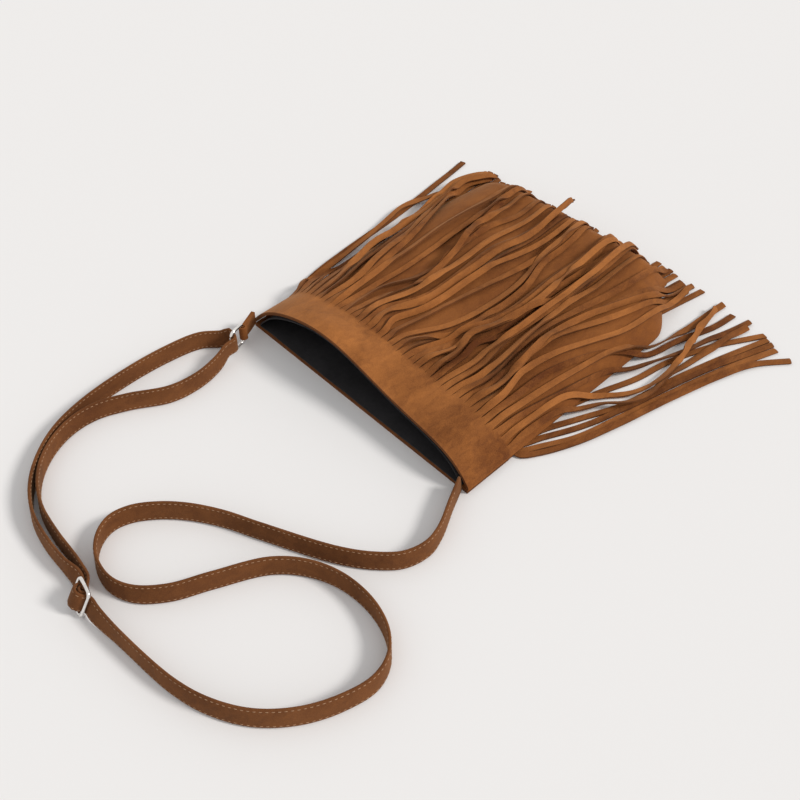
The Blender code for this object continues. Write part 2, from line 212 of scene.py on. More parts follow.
OUTER_RETURN = [
    (-0.0200, -0.2375), (-0.0440, -0.2357), (-0.0660, -0.2305), (-0.0860, -0.2193),
    (-0.1030, -0.2023), (-0.1160, -0.1810), (-0.1235, -0.1550), (-0.1270, -0.1200),
    (-0.1260, -0.0840), (-0.1205, -0.0565), (-0.1105, -0.0435),
]
ROUND_RING = [
    (-0.0070, 0.0046), (-0.0034, 0.0043), (-0.0002, 0.0035), (0.0022, 0.0023),
    (0.0032, 0.0002), (0.0031, -0.0024), (0.0034, -0.0070),
]
INNER_RETURN = [
    (-0.0925, -0.0620), (-0.0887, -0.0820), (-0.0915, -0.1040), (-0.1060, -0.1295),
    (-0.1140, -0.1490), (-0.1150, -0.1660), (-0.1105, -0.1830), (-0.1005, -0.2000),
    (-0.0860, -0.2138), (-0.0660, -0.2239), (-0.0420, -0.2288), (-0.0140, -0.2315),
]
SEWN_END = [
    (-0.0110, -0.0070), (-0.0044, -0.0042), (-0.0014, -0.0029), (0.0013, -0.0025),
    (0.0027, -0.0008), (0.0024, 0.0013), (0.0008, 0.0026), (-0.0013, 0.0024),
    (-0.0027, 0.0006),
]

# How the front strips lie, seen from above: where a strip leaves the band, and the points it runs
# through. A strip between two of these lies between them.
FRONT_GUIDES = [
    (-0.1084, [(-0.1185, 0.045), (-0.124, 0.090), (-0.129, 0.135), (-0.136, 0.185),
               (-0.147, 0.253)]),
    (-0.1031, [(-0.1165, 0.050), (-0.122, 0.090), (-0.129, 0.135), (-0.134, 0.170),
               (-0.129, 0.197), (-0.123, 0.224)]),
    (-0.0979, [(-0.112, 0.050), (-0.117, 0.095), (-0.120, 0.150), (-0.121, 0.195), (-0.120, 0.222),
               (-0.114, 0.243)]),
    (-0.0820, [(-0.088, 0.055), (-0.097, 0.100), (-0.105, 0.140), (-0.109, 0.172), (-0.114, 0.198),
               (-0.117, 0.218), (-0.112, 0.240)]),
    (-0.0661, [(-0.067, 0.050), (-0.076, 0.095), (-0.084, 0.130), (-0.096, 0.165),
               (-0.106, 0.192), (-0.1125, 0.210), (-0.115, 0.224), (-0.110, 0.242)]),
    (-0.0608, [(-0.065, 0.050), (-0.070, 0.090), (-0.072, 0.115), (-0.074, 0.145),
               (-0.073, 0.195), (-0.074, 0.245)]),
    (-0.0502, [(-0.053, 0.064), (-0.045, 0.093), (-0.048, 0.129), (-0.055, 0.153),
               (-0.059, 0.177), (-0.062, 0.207), (-0.066, 0.228), (-0.062, 0.242), (-0.048, 0.245)]),
    (-0.0397, [(-0.044, 0.055), (-0.038, 0.087), (-0.042, 0.134), (-0.046, 0.174),
               (-0.040, 0.204), (-0.045, 0.245)]),
    (-0.0291, [(-0.032, 0.045), (-0.024, 0.073), (-0.023, 0.112), (-0.025, 0.158),
               (-0.020, 0.186), (-0.021, 0.218), (-0.027, 0.262)]),
    (-0.0132, [(-0.019, 0.042), (-0.011, 0.080), (-0.010, 0.141), (-0.007, 0.183),
               (-0.012, 0.226), (-0.018, 0.250)]),
    (-0.0079, [(-0.010, 0.036), (-0.005, 0.072), (-0.002, 0.111), (0.001, 0.163),
               (0.003, 0.206), (-0.006, 0.245)]),
    (0.0026, [(0.004, 0.035), (0.017, 0.064), (0.019, 0.080), (0.020, 0.099), (0.021, 0.138),
              (0.012, 0.173), (0.011, 0.198), (0.006, 0.240)]),
    (0.0079, [(0.009, 0.036), (0.016, 0.062), (0.031, 0.110), (0.030, 0.161), (0.030, 0.206),
              (0.024, 0.245)]),
    (0.0238, [(0.026, 0.036), (0.031, 0.054), (0.030, 0.071), (0.036, 0.089), (0.041, 0.126),
              (0.040, 0.171), (0.038, 0.204), (0.032, 0.245)]),
    (0.0397, [(0.040, 0.036), (0.041, 0.054), (0.038, 0.068), (0.043, 0.085), (0.046, 0.127),
              (0.048, 0.161), (0.047, 0.204), (0.043, 0.245)]),
    (0.0502, [(0.051, 0.036), (0.052, 0.055), (0.048, 0.084), (0.048, 0.119), (0.050, 0.158),
              (0.052, 0.204), (0.048, 0.245)]),
    (0.0555, [(0.059, 0.040), (0.060, 0.062), (0.057, 0.096), (0.056, 0.122), (0.056, 0.143),
              (0.058, 0.178), (0.056, 0.211), (0.054, 0.245)]),
    (0.0661, [(0.070, 0.045), (0.066, 0.080), (0.065, 0.110), (0.069, 0.135), (0.078, 0.169),
              (0.088, 0.203), (0.091, 0.232)]),
    (0.0767, [(0.080, 0.045), (0.076, 0.075), (0.076, 0.098), (0.079, 0.124), (0.087, 0.158),
              (0.091, 0.185), (0.093, 0.225)]),
    (0.0820, [(0.084, 0.045), (0.081, 0.075), (0.082, 0.102), (0.090, 0.135), (0.096, 0.160),
              (0.098, 0.194), (0.096, 0.225)]),
    (0.0873, [(0.088, 0.048), (0.088, 0.085), (0.093, 0.111), (0.102, 0.142), (0.115, 0.168),
              (0.121, 0.195), (0.132, 0.226), (0.137, 0.252)]),
    (0.0926, [(0.094, 0.050), (0.096, 0.090), (0.101, 0.130), (0.108, 0.155), (0.117, 0.182),
              (0.122, 0.210), (0.124, 0.240)]),
    (0.0979, [(0.099, 0.050), (0.102, 0.090), (0.110, 0.130), (0.124, 0.157), (0.135, 0.183),
              (0.141, 0.218), (0.148, 0.253)]),
    (0.1031, [(0.104, 0.050), (0.108, 0.085), (0.120, 0.110), (0.135, 0.130), (0.139, 0.150),
              (0.133, 0.185), (0.126, 0.214), (0.124, 0.240)]),
    (0.1084, [(0.109, 0.050), (0.112, 0.080), (0.124, 0.104), (0.135, 0.115), (0.141, 0.134),
              (0.140, 0.156), (0.144, 0.184), (0.151, 0.218), (0.157, 0.250)]),
]
BACK_GUIDES = [
    (-0.1084, [(-0.109, 0.100), (-0.112, 0.180), (-0.118, 0.260)]),
    (-0.0608, [(-0.061, 0.100), (-0.062, 0.180), (-0.064, 0.260)]),
    (0.0026, [(0.003, 0.100), (0.003, 0.180), (0.004, 0.260)]),
    (0.0661, [(0.067, 0.100), (0.069, 0.180), (0.078, 0.260)]),
    (0.0820, [(0.083, 0.100), (0.090, 0.180), (0.104, 0.258)]),
    (0.0873, [(0.097, 0.040), (0.105, 0.073), (0.116, 0.113), (0.126, 0.142), (0.132, 0.172),
              (0.146, 0.210), (0.170, 0.250)]),
    (0.0926, [(0.104, 0.034), (0.110, 0.057), (0.121, 0.082), (0.135, 0.115), (0.144, 0.156),
              (0.155, 0.197), (0.171, 0.248)]),
    (0.0979, [(0.107, 0.032), (0.115, 0.052), (0.126, 0.076), (0.138, 0.111), (0.1475, 0.151),
              (0.1585, 0.192), (0.177, 0.2475)]),
    (0.1031, [(0.110, 0.030), (0.120, 0.047), (0.131, 0.069), (0.141, 0.107), (0.151, 0.147),
              (0.162, 0.187), (0.183, 0.247)]),
    (0.1084, [(0.114, 0.028), (0.123, 0.041), (0.1335, 0.064), (0.1435, 0.098), (0.154, 0.143),
              (0.166, 0.186), (0.177, 0.214), (0.197, 0.240)]),
]


def smooth(t):
    """From 0 to 1 as t does, level at both ends."""
    t = np.clip(t, 0.0, 1.0)
    return t * t * (3 - 2 * t)


def half_width_at(y, side, inset=0.0):
    """Half the pouch's width: the bottom corners are rounded off, the right one most."""
    near_bottom = smooth((y - (BOTTOM_Y - CORNER_LENGTH)) / CORNER_LENGTH)
    return HALF_WIDTH - inset - np.where(side > 0, RIGHT_TAPER, LEFT_TAPER) * near_bottom


def rise_at(side, y, drop=0.0, inset=0.0):
    """Height of the domed front over its seam, for side from -1 to 1 across the pouch."""
    open_share = 1 - smooth((y - MOUTH_Y) / MOUTH_FADE)
    from_bottom = np.clip((BOTTOM_Y - inset - y) / BOTTOM_ROUND, 0.0, 1.0)
    end = np.sqrt(1 - (1 - from_bottom) ** 2)
    hump = HUMP_RISE * open_share * np.exp(-(((side - HUMP_SIDE) / HUMP_SPREAD) ** 2) / 2)
    return ((BODY_RISE - drop) * end + hump) * (1 - side**SIDE_POWER)


def drawn(side, y):
    """The mouth line draws in towards its left end, where the mouth stands most open."""
    share = 1 - smooth((y - MOUTH_Y) / (BAND_Y - MOUTH_Y))
    return y + MOUTH_DRAW * share * (1 - side) / 2


def pulled(side, y):
    """The raised mouth edge draws back a little more from the mouth line."""
    share = 1 - smooth((y - MOUTH_Y) / (BAND_Y - MOUTH_Y))
    return drawn(side, y) + MOUTH_PULL * share * (1 - side**2)


def blur(values, reach):
    """Gaussian smoothing along the first axis, reach in samples."""
    half = max(1, int(3 * reach))
    kernel = np.exp(-0.5 * (np.arange(-half, half + 1) / reach) ** 2)
    kernel /= kernel.sum()
    padded = np.concatenate([values[:1].repeat(half), values, values[-1:].repeat(half)])
    return np.convolve(padded, kernel, "valid")


def wave(seed, t):
    """A smooth wandering value, about -1 to 1, that differs from seed to seed."""
    slow, middle = np.sin(t + 1.7 * seed), np.sin(2.17 * t + 3.1 * seed)
    return (slow + 0.6 * middle + 0.4 * np.sin(3.4 * t + 5.3 * seed)) / 1.6


def smooth_line(points, step, extra=None):
    """A smooth line through unevenly spaced points, sampled about every step."""
    p = np.asarray(points, float)
    reach = np.sqrt(np.linalg.norm(np.diff(p, axis=0), axis=1))
    knots = np.concatenate([[0.0], np.cumsum(reach)])
    values = p if extra is None else np.hstack([p, extra])
    span = np.diff(knots)[:, None]
    slope = np.diff(values, axis=0) / span
    between = (slope[:-1] * span[1:] + slope[1:] * span[:-1]) / (span[1:] + span[:-1])
    tangent = np.vstack([slope[:1], between, slope[-1:]])
    pieces = []
    for k in range(len(p) - 1):
        count = max(1, int(round(reach[k] ** 2 / step)))
        t = np.arange(count)[:, None] / count
        h = span[k]
        pieces.append(
            (2 * t**3 - 3 * t**2 + 1) * values[k]
            + (t**3 - 2 * t**2 + t) * h * tangent[k]
            + (3 * t**2 - 2 * t**3) * values[k + 1]
            + (t**3 - t**2) * h * tangent[k + 1]
        )
    line = np.vstack(pieces + [values[-1:]])
    return line if extra is None else (line[:, : p.shape[1]], line[:, p.shape[1] :])


def along_line(line):
    """Distance from the start of a line to each of its points."""
    return np.concatenate([[0.0], np.cumsum(np.linalg.norm(np.diff(line, axis=0), axis=1))])


def at_distances(line, distances):
    """Points of a line at those distances from its start, running straight on past its end."""
    along = along_line(line)
    found = interpolated(distances, along, line)
    past = np.clip(distances - along[-1], 0, None)[:, None]
    ending = line[-1] - line[-4]
    return found + past * ending / np.linalg.norm(ending)


# Materials


class Nodes:
    """Short forms for building a material's nodes."""

    def __init__(self, name):
        self.material = bpy.data.materials.new(name)
        self.material.use_nodes = True
        self.tree = self.material.node_tree
        self.shader = self.tree.nodes["Principled BSDF"]
        place = self.add("ShaderNodeTexCoord")
        self.place = place.outputs["Object"]

    def add(self, kind, **settings):
        made = self.tree.nodes.new(kind)
        for name, value in settings.items():
            setattr(made, name, value)
        return made

    def join(self, source, target):
        self.tree.links.new(source, target)

    def set(self, **values):
        for name, value in values.items():
            self.shader.inputs[name.replace("_", " ")].default_value = value

    def noise(self, size, detail=2.0, stretch=(1, 1, 1), distortion=0.0):
        """Noise whose patches are about that size in metres."""
        mapping = self.add("ShaderNodeMapping")
        mapping.inputs["Scale"].default_value = stretch
        self.join(self.place, mapping.inputs["Vector"])
        made = self.add("ShaderNodeTexNoise")
        made.inputs["Scale"].default_value = 1 / size
        made.inputs["Detail"].default_value = detail
        made.inputs["Distortion"].default_value = distortion
        self.join(mapping.outputs["Vector"], made.inputs["Vector"])
        return made.outputs["Fac"]

    def spread(self, value, low=0.0, high=1.0):
        """A noise value, which mostly lies between 0.3 and 0.7, spread from low to high."""
        made = self.add("ShaderNodeMapRange")
        ends = (("From Min", 0.3), ("From Max", 0.7), ("To Min", low), ("To Max", high))
        for name, number in ends:
            made.inputs[name].default_value = number
        self.join(value, made.inputs["Value"])
        return made.outputs["Result"]

    def weighted(self, *parts):
        """Sum of values, each times its weight."""
        terms = [self.math("MULTIPLY", value, weight) for value, weight in parts]
        total = terms[0]
        for term in terms[1:]:
            total = self.math("ADD", total, term)
        return total

    def math(self, operation, first, second):
        made = self.add("ShaderNodeMath", operation=operation)
        for socket, value in zip(made.inputs, (first, second)):
            if isinstance(value, (int, float)):
                socket.default_value = value
            else:
                self.join(value, socket)
        return made.outputs[0]

    def shade(self, dark, light, amount):
        """A colour between dark and light."""
        made = self.add("ShaderNodeMix", data_type="RGBA")
        first, second = [socket for socket in made.inputs if socket.type == "RGBA"]
        first.default_value = (*dark, 1)
        second.default_value = (*light, 1)
        self.join(amount, made.inputs[0])
        return [socket for socket in made.outputs if socket.type == "RGBA"][0]

    def paint(self, dark, light, amount):
        self.join(self.shade(dark, light, amount), self.shader.inputs["Base Color"])

    def roughen(self, value, low, high):
        self.join(self.spread(value, low, high), self.shader.inputs["Roughness"])

    def bump(self, height, distance, strength=1.0):
        made = self.add("ShaderNodeBump")
        made.inputs["Strength"].default_value = strength
        made.inputs["Distance"].default_value = distance
        self.join(height, made.inputs["Height"])
        self.join(made.outputs["Normal"], self.shader.inputs["Normal"])


def suede_material(name, dark, light, sheen=0.16):
    """Napped leather: brushed patches, a fine grain, and a soft sheen at glancing angles."""
    nodes = Nodes(name)
    patches = nodes.noise(0.028, 3.0, (1, 0.6, 1), 0.6)
    strokes = nodes.noise(0.0045, 3.0, (1, 0.45, 1), 0.8)
    grain = nodes.noise(0.0007, 2.0)
    tone = nodes.add("ShaderNodeAttribute", attribute_name="tone").outputs["Fac"]
    amount = nodes.weighted(
        (nodes.spread(patches), 0.40), (nodes.spread(strokes), 0.24),
        (nodes.spread(grain), 0.20), (tone, 0.30),
    )
    nodes.paint(dark, light, amount)
    nodes.roughen(strokes, 0.82, 1.0)
    nodes.bump(nodes.weighted((strokes, 0.7), (grain, 0.5)), 0.0005, 0.55)
    nodes.set(Specular_IOR_Level=0.15, Sheen_Weight=sheen, Sheen_Roughness=0.45)
    nodes.set(Sheen_Tint=(1.0, 0.66, 0.38, 1.0))
    return nodes.material


def lining_material():
    """Black plain-woven cloth."""
    nodes = Nodes("lining_cloth")
    threads = []
    for direction in ("X", "Y"):
        made = nodes.add("ShaderNodeTexWave", wave_type="BANDS", bands_direction=direction)
        made.inputs["Scale"].default_value = 480.0
        made.inputs["Distortion"].default_value = 0.3
        nodes.join(nodes.place, made.inputs["Vector"])
        threads.append(made.outputs["Fac"])
    weave = nodes.math("MAXIMUM", *threads)
    amount = nodes.weighted((weave, 0.5), (nodes.spread(nodes.noise(0.02)), 0.5))
    nodes.paint((0.006, 0.005, 0.006), (0.026, 0.024, 0.026), amount)
    nodes.roughen(nodes.noise(0.004), 0.65, 0.85)
    nodes.bump(weave, 0.0002, 0.6)
    nodes.set(Specular_IOR_Level=0.3, Sheen_Weight=0.08, Sheen_Roughness=0.4)
    return nodes.material


def metal_material():
    """Polished plated wire with faint wiping marks."""
    nodes = Nodes("polished_plate")
    wiping = nodes.noise(0.003, 4.0, (1, 1, 3))
    nodes.paint((0.70, 0.68, 0.66), (0.86, 0.84, 0.81), nodes.spread(wiping))
    nodes.roughen(wiping, 0.07, 0.2)
    nodes.bump(nodes.noise(0.0012, 3.0), 0.00004, 0.5)
    nodes.set(Metallic=1.0)
    return nodes.material


def thread_material():
    """Pale sewing thread, twisted."""
    nodes = Nodes("sewing_thread")
    fibres = nodes.noise(0.0003, 2.0)
    nodes.paint((0.28, 0.14, 0.065), (0.50, 0.30, 0.16), nodes.spread(fibres))
    nodes.roughen(fibres, 0.6, 0.8)
    nodes.bump(fibres, 0.0001, 0.6)
    nodes.set(Sheen_Weight=0.15)
    return nodes.material


SUEDE_LOOK = suede_material("fringe_suede", (0.100, 0.027, 0.0055), (0.44, 0.160, 0.042))
PANEL_LOOK = suede_material("panel_suede", (0.14, 0.040, 0.009), (0.35, 0.124, 0.031))
STRAP_LOOK = suede_material("strap_suede", (0.085, 0.027, 0.008), (0.24, 0.090, 0.030), 0.15)
# The cut edges of the strips and the panels are coloured much darker than the suede's own cut edge.
# This is painted shade: it stands in for the dark lines of shade in the gaps between strips and
# along the mouth edge.
EDGE_SHADE_LOOK = suede_material("cut_edge_painted_shade", (0.070, 0.021, 0.006), (0.23, 0.085, 0.028), 0.04)
LINING_LOOK = lining_material()
METAL_LOOK = metal_material()
THREAD_LOOK = thread_material()


# Meshes


def add_mesh(name, vertices, faces, looks, slots=None, tones=None):
    """An object from arrays of vertices and faces; slots gives each face's material."""
    mesh = bpy.data.meshes.new(name)
    mesh.from_pydata(np.asarray(vertices).tolist(), [], faces)
    for look in looks:
        mesh.materials.append(look)
    if slots is not None:
        mesh.polygons.foreach_set("material_index", slots)
    attribute = mesh.attributes.new("tone", "FLOAT", "POINT")
    attribute.data.foreach_set("value", np.zeros(len(mesh.vertices)) if tones is None else tones)
    mesh.shade_smooth()
    mesh.update()
    made = bpy.data.objects.new(name, mesh)
    bpy.context.scene.collection.objects.link(made)
    return made


def thicken(made, thickness):
    """Give an open sheet its thickness, upwards, with the cut edge in the second material."""
    solid = made.modifiers.new("Thickness", "SOLIDIFY")
    solid.thickness = thickness
    solid.offset = 1.0
    solid.material_offset_rim = 1
    bpy.context.view_layer.update()
    graph = bpy.context.evaluated_depsgraph_get()
    mesh = bpy.data.meshes.new_from_object(made.evaluated_get(graph))
    made.modifiers.clear()
    made.data = mesh
    mesh.set_sharp_from_angle(angle=SHARP_ANGLE)
    return made


def sweep(centres, sides, ups, profile):
    """Vertices and faces of a closed section swept along a line, with its ends closed."""
    rows, count = len(centres), len(profile)
    vertices = (
        centres[:, None]
        + sides[:, None] * profile[None, :, 0:1]
        + ups[:, None] * profile[None, :, 1:2]
    ).reshape(-1, 3)
    faces = []
    for row in range(rows - 1):
        for k in range(count):
            a = row * count + k
            b = row * count + (k + 1) % count
            faces.append((a, b, b + count, a + count))
    faces.append(tuple(reversed(range(count))))
    faces.append(tuple(range((rows - 1) * count, rows * count)))
    return vertices, faces


def grid_faces(rows, width, first=0):
    """Faces between rows of points, each row so many points wide."""
    corners = [first + row * width + k for row in range(rows) for k in range(width - 1)]
    return [(a, a + 1, a + 1 + width, a + width) for a in corners]


def unit(vectors):
    """The same directions at length 1."""
    return vectors / np.linalg.norm(vectors, axis=-1, keepdims=True)


def interpolated(at, along, values):
    """Rows of values, found at other distances along a line."""
    return np.stack([np.interp(at, along, values[:, k]) for k in range(values.shape[1])], 1)


# Strap, ring and slider


def slider_axes():
    """Slider's middle, and its directions along the strap, up its width and out of its face."""
    along = Vector((math.cos(SLIDER_HEADING), math.sin(SLIDER_HEADING), 0.0))
    level = UP.cross(along)
    width = level * math.sin(SLIDER_LEAN) + UP * math.cos(SLIDER_LEAN)
    face = along.cross(width)
    reach = (SLIDER_HEIGHT - SLIDER_WIRE) / 2 * math.cos(SLIDER_LEAN)
    middle = Vector((*SLIDER_PLACE, reach + SLIDER_WIRE / 2 + GAP))
    return middle, along, width, face


def ring_outer_bar():
    """Middle of the ring's bar that the strap runs round."""
    reach = RING_LENGTH - RING_WIRE
    return Vector(
        (
            RING_AXIS[0] + reach * math.cos(RING_HEADING),
            RING_AXIS[1] + reach * math.sin(RING_HEADING),
            RING_HEIGHT / 2 + GAP,
        )
    )


def strap_route():
    """Points on the strap's middle line, in travel order, each with its width direction."""
    middle, along, width, face = slider_axes()
    bar = ring_outer_bar()
    knots = [(Vector((x, y, 0.0)), None) for x, y in FREE_ROUTE]
    knots += [(middle + along * s + face * n, width) for s, n in RUN_THROUGH]
    knots += [(Vector((x, y, 0.0)), None) for x, y in OUTER_RETURN]
    knots += [(bar + Vector((x, y, 0.0)), UP) for x, y in ROUND_RING]
    knots += [(Vector((x, y, 0.0)), None) for x, y in INNER_RETURN]
    knots += [(middle + along * s + face * n, width) for s, n in SEWN_END]
    points, widths = [], []
    for k, (point, up) in enumerate(knots):
        if up is None:
            travel = knots[min(k + 1, len(knots) - 1)][0] - knots[max(k - 1, 0)][0]
            across = Vector((-travel.y, travel.x, 0.0)).normalized()
            up = (UP + across * STRAP_LEAN * across.dot(AWAY)).normalized()
            lift = STRAP_WIDTH / 2 * up.z + STRAP_THICK / 2 * up.xy.length + GAP
            point = Vector((point.x, point.y, lift))
        points.append(point)
        widths.append(up)
    return np.array(points, float), np.array(widths, float)


def strap_profile():
    """Section of the strap: rounded edges, pinched along its two rows of stitches."""
    half, thick = STRAP_WIDTH / 2, STRAP_THICK / 2
    pinch = half - STITCH_INSET
    right = [
        (half, thick * 0.30), (half - 0.0007, thick * 0.86), (pinch, thick * STRAP_PINCH),
        (pinch - 0.0012, thick * 0.97),
    ]
    upper = right + [(0.0, thick)] + [(-x, y) for x, y in reversed(right)]
    return np.array(upper + [(x, -y) for x, y in reversed(upper)])


def strap_lines():
    """The strap's smooth middle line with the directions of its width and face."""
    points, widths = strap_route()
    line, width = smooth_line(points, STRAP_STEP, widths)
    travel = unit(np.gradient(line, axis=0))
    width = unit(width - travel * (travel * width).sum(1, keepdims=True))
    return line, width, np.cross(travel, width)


def stitches(line, width, face):
    """Small rounded dashes on both faces of the strap, near both of its edges."""
    along = along_line(line)
    starts = np.arange(STITCH_FROM, along[-1] - STITCH_TO, STITCH_PITCH)
    turns = np.arange(STITCH_SIDES) * 2 * math.pi / STITCH_SIDES
    around = np.array([(math.cos(a), math.sin(a)) for a in turns])
    lengthwise = np.array([0.0, 0.2, 0.5, 0.8, 1.0])
    sizes = STITCH_THICK / 2 * np.array([0.5, 0.9, 1.0, 0.9, 0.5])[:, None, None]
    sunk = np.array([-STITCH_SINK, 0.0, STITCH_RISE, 0.0, -STITCH_SINK])[:, None]
    vertices, faces = [], []
    for edge, outward, start in itertools.product((-1, 1), (-1, 1), starts):
        at = start + STITCH_LENGTH * lengthwise
        w = interpolated(at, along, width)
        f = interpolated(at, along, face) * outward
        centre = interpolated(at, along, line) + w * edge * (STRAP_WIDTH / 2 - STITCH_INSET)
        centre = centre + f * (STRAP_THICK / 2 * STRAP_PINCH + sunk)
        ring = w[:, None] * around[None, :, 0:1] + f[:, None] * around[None, :, 1:2]
        base = len(vertices) * len(lengthwise) * STITCH_SIDES
        vertices.append((centre[:, None] + sizes * ring).reshape(-1, 3))
        for row, k in itertools.product(range(len(lengthwise) - 1), range(STITCH_SIDES)):
            a, b = (base + row * STITCH_SIDES + turn % STITCH_SIDES for turn in (k, k + 1))
            c, d = b + STITCH_SIDES, a + STITCH_SIDES
            faces.append((a, b, c, d) if outward < 0 else (a, d, c, b))
        last = base + (len(lengthwise) - 1) * STITCH_SIDES
        low, high = (tuple(range(first, first + STITCH_SIDES)) for first in (base, last))
        faces += [low[::-1], high] if outward < 0 else [low, high[::-1]]
    return np.vstack(vertices), faces


def make_strap():
    """The strap with its stitches, as one mesh."""
    line, width, face = strap_lines()
    vertices, faces = sweep(line, width, face, strap_profile())
    thread, thread_faces = stitches(line, width, face)
    first = len(vertices)
    slots = [0] * len(faces) + [1] * len(thread_faces)
    faces += [tuple(first + k for k in corners) for corners in thread_faces]
    looks = [STRAP_LOOK, THREAD_LOOK]
    made = add_mesh("strap_with_stitches", np.vstack([vertices, thread]), faces, looks, slots)
    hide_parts("shoulder_strap")
    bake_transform(made)
    make_slider()


def rounded_rectangle(length, height, corner, steps=8):
    """Points round a rectangle with rounded corners."""
    points = []
    for quarter in range(4):
        cx = (length / 2 - corner) * (1 if quarter in (0, 3) else -1)
        cy = (height / 2 - corner) * (1 if quarter in (0, 1) else -1)
        for step in range(steps + 1):
            angle = math.pi / 2 * (quarter + step / steps)
            points.append((cx + corner * math.cos(angle), cy + corner * math.sin(angle)))
    return points


def wire(name, points, thick, closed, look):
    """A round wire along points."""
    data = bpy.data.curves.new(name, "CURVE")
    data.dimensions = "3D"
    data.bevel_depth = thick / 2
    data.bevel_resolution = 6
    data.use_fill_caps = not closed
    spline = data.splines.new("POLY")
    spline.points.add(len(points) - 1)
    for made, point in zip(spline.points, points):
        made.co = (*point, 1.0)
    spline.use_cyclic_u = closed
    data.materials.append(look)
    made = bpy.data.objects.new(name, data)
    bpy.context.scene.collection.objects.link(made)
    return made


def make_slider():
    """The slider's frame with the middle bar, which the strap's end is sewn to."""
    middle, along, width, _ = slider_axes()
    height = SLIDER_HEIGHT - SLIDER_WIRE
    outline = rounded_rectangle(2 * SLIDER_PITCH, height, SLIDER_CORNER)
    line = [middle + along * x + width * y for x, y in outline]
    made = wire("slider_frame", line, SLIDER_WIRE, True, METAL_LOOK)
    ends = [middle - width * height / 2, middle + width * height / 2]
    bar = wire("slider_middle_bar", ends, SLIDER_WIRE * SLIDER_BAR, False, METAL_LOOK)
    for piece in (made, bar):
        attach(piece, "bag")
    bar.parent = made
    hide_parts("strap_slider")
    return made


def make_ring():
    """The ring in the tab; it turns about its bar there."""
    along = Vector((math.cos(RING_HEADING), math.sin(RING_HEADING), 0.0))
    middle = Vector((*RING_AXIS, RING_HEIGHT / 2 + GAP)) + along * (RING_LENGTH - RING_WIRE) / 2
    outline = rounded_rectangle(RING_LENGTH - RING_WIRE, RING_HEIGHT - RING_WIRE, RING_CORNER)
    line = [middle + along * x + UP * y for x, y in outline]
    made = wire("ring_wire", line, RING_WIRE, True, METAL_LOOK)
    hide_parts("strap_ring")
    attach(made, "ring")


# Sheets of the pouch


def wrinkle(x, y):
    """Soft hollows and folds in the suede, up to about a millimetre."""
    across = np.sin(x / 0.021 + 1.3 * np.sin(y / 0.034))
    folds = across * np.sin(y / 0.027 + 0.8 * np.sin(x / 0.017))
    ease = smooth((HALF_WIDTH - np.abs(x)) / 0.02) * smooth((y - MOUTH_Y) / 0.02)
    return WRINKLE_DEPTH * folds * (ease * smooth((BOTTOM_Y - y) / 0.03))


def sheet_grid(name, columns, rows, place, looks, thickness):
    """An open grid over side -1 to 1 and the given rows, thickened upwards."""
    side, y = np.meshgrid(np.sin(np.linspace(-1, 1, columns + 1) * math.pi / 2), rows)
    faces = grid_faces(len(rows) - 1, columns + 1)
    return thicken(add_mesh(name, place(side, y).reshape(-1, 3), faces, looks), thickness)


def pouch_rows(inset):
    """Rows from the mouth to the bottom edge, closer together where the bottom rounds."""
    round_from = BOTTOM_Y - BOTTOM_ROUND - inset
    even = np.linspace(MOUTH_Y, round_from, BODY_ROWS, endpoint=False)
    turn = round_from + BOTTOM_ROUND * np.sin(np.linspace(0, math.pi / 2, ROUND_ROWS))
    return np.concatenate([even, turn])


def domed(base, inset=0.0, drop=0.0):
    """Place of the points of a sheet that arches over what the bag holds."""

    def place(side, y):
        x = side * half_width_at(y, side, inset)
        z = base + rise_at(side, y, drop, inset) + wrinkle(x, y)
        return np.stack([x, pulled(side, y), z], -1)

    return place


def flat(base, inset=0.0, ripple=0.0):
    """Place of the points of a sheet that lies flat, with a ripple."""

    def place(side, y):
        x = side * half_width_at(y, side, inset)
        ease = smooth((HALF_WIDTH - np.abs(x)) / 0.03) * smooth((BOTTOM_Y - y) / 0.03)
        folds = wave(1.0, x / 0.016 + y / 0.05) * wave(2.0, y / 0.030 + x / 0.06) + 1
        return np.stack([x, drawn(side, y), base + ripple * folds * ease], -1)

    return place


def lay_sheet(name, columns, inset, place, looks, thickness, node):
    """One sheet of the pouch, in place of its solid."""
    made = sheet_grid(name, columns, pouch_rows(inset), place, looks, thickness)
    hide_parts(node)
    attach(made, "bag")


# Fringe


class Relief:
    """Height of the highest thing at each place, seen from above, on a fine grid."""

    def __init__(self, low, high, cell):
        self.low = np.array(low)
        self.cell = cell
        count = np.ceil((np.array(high) - self.low) / cell).astype(int) + 1
        self.heights = np.zeros(count)
        self.ground = self.heights.copy()

    def index(self, x, y):
        cells = [((v - low) / self.cell).round().astype(int) for v, low in zip((x, y), self.low)]
        return tuple(np.clip(c, 0, n - 1) for c, n in zip(cells, self.heights.shape))

    def read(self, x, y):
        return self.heights[self.index(x, y)]

    def read_ground(self, x, y):
        return self.ground[self.index(x, y)]

    def add(self, x, y, z):
        np.maximum.at(self.heights, self.index(x, y), z)


def guide_lines(guides):
    """Each guide as a function of the distance from the band."""
    distances = np.linspace(0, GUIDE_STEP * (GUIDE_COUNT - 1), GUIDE_COUNT)
    lines = []
    for x, points in guides:
        lean = x + GUIDE_LEAN * (points[0][0] - x)
        root = [(x, BAND_Y), (lean, BAND_Y + GUIDE_START)]
        lines.append(at_distances(smooth_line(root + points, GUIDE_STEP), distances))
    return np.array([x for x, _ in guides]), distances, np.array(lines)


